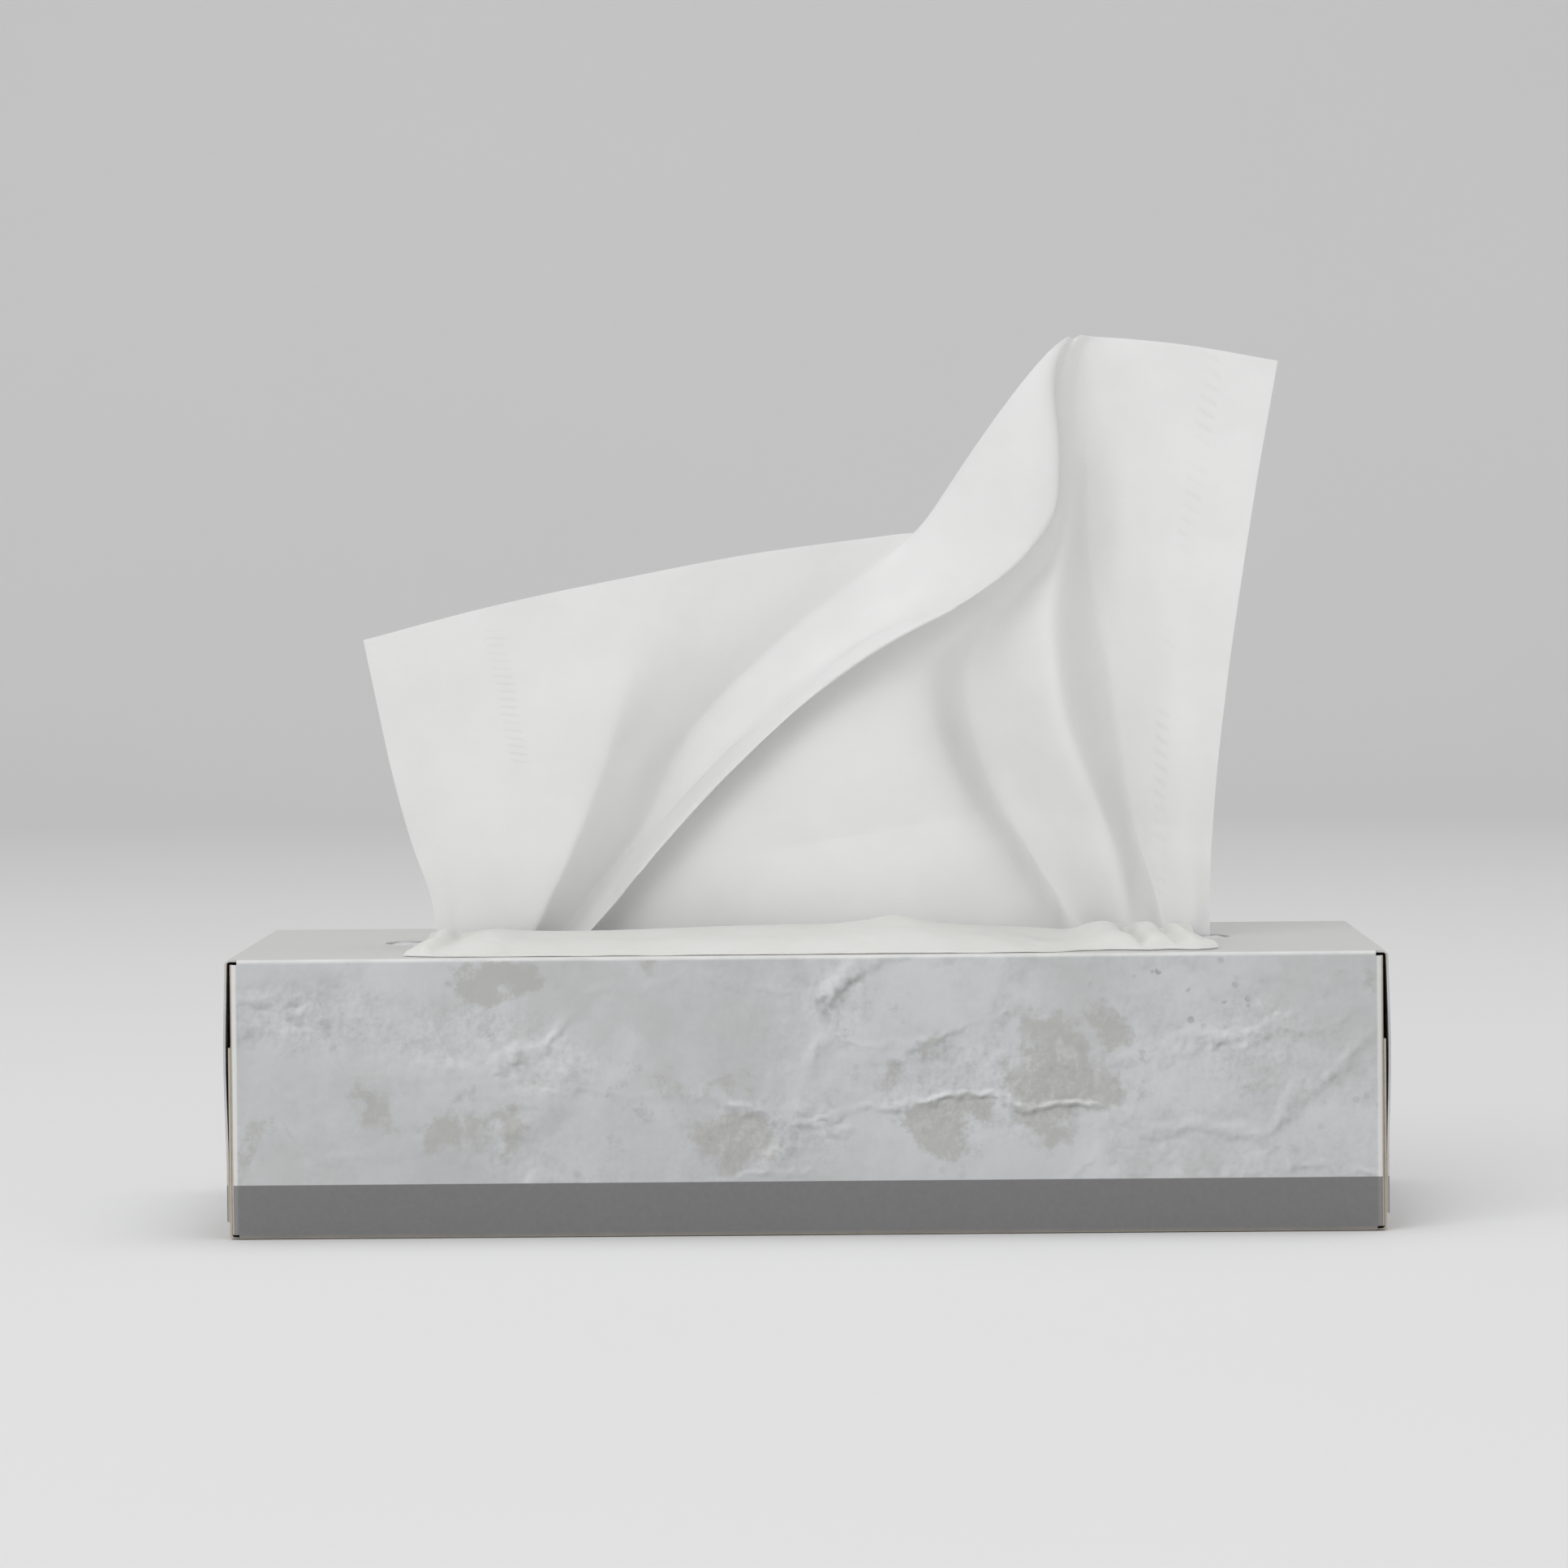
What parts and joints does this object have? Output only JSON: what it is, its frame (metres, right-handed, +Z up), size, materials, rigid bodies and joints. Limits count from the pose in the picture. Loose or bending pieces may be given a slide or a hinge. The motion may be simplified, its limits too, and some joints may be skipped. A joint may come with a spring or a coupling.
{
  "type": "tissue box",
  "caption": "Flat grey carton of folded facial tissues with an oval film-lined opening and a tissue standing in its slit.",
  "frame": {"origin": "middle of the carton's base, on the surface that the carton stands on", "axes": "+X along the long side, +Y from the front panel to the back panel, +Z up through the opening"},
  "size_m": [0.231, 0.115, 0.179],
  "materials": {
    "printed_board": "satin",
    "film": "gloss",
    "tissue": "matte"
  },
  "bodies": {
    "root": {"carton": "printed_board", "film": "film", "tissue_stack": "tissue", "next_tissue": "tissue", "raised_tissue": "tissue"}
  },
  "joints": []
}
